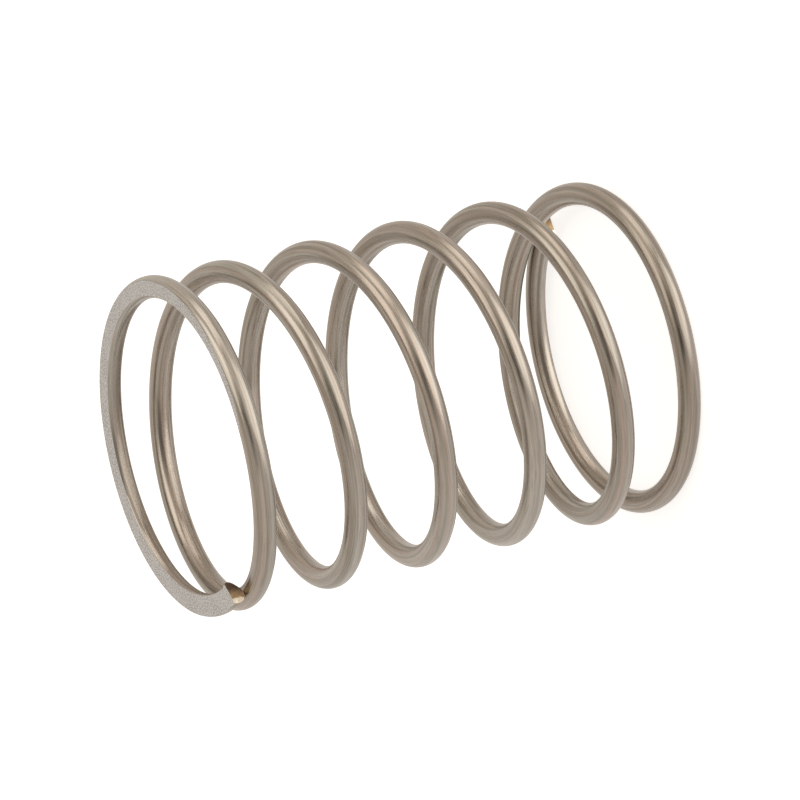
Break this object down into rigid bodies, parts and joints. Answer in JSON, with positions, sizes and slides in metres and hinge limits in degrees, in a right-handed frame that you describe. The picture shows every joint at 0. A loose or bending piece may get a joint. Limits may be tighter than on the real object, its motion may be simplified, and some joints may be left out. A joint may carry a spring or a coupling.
{
  "type": "compression spring",
  "caption": "Open-coiled cylindrical compression spring in round stainless wire, with closed ends ground flat.",
  "frame": {"origin": "centre of the lower ground end face", "axes": "+Z along the coil axis, towards the upper ground end; +X towards the tip of the wire at the lower end"},
  "size_m": [0.0178, 0.0178, 0.026],
  "materials": {
    "spring_wire": "satin, drawn stainless spring wire"
  },
  "bodies": {
    "root": {"coil_spring": "spring_wire"}
  },
  "joints": []
}
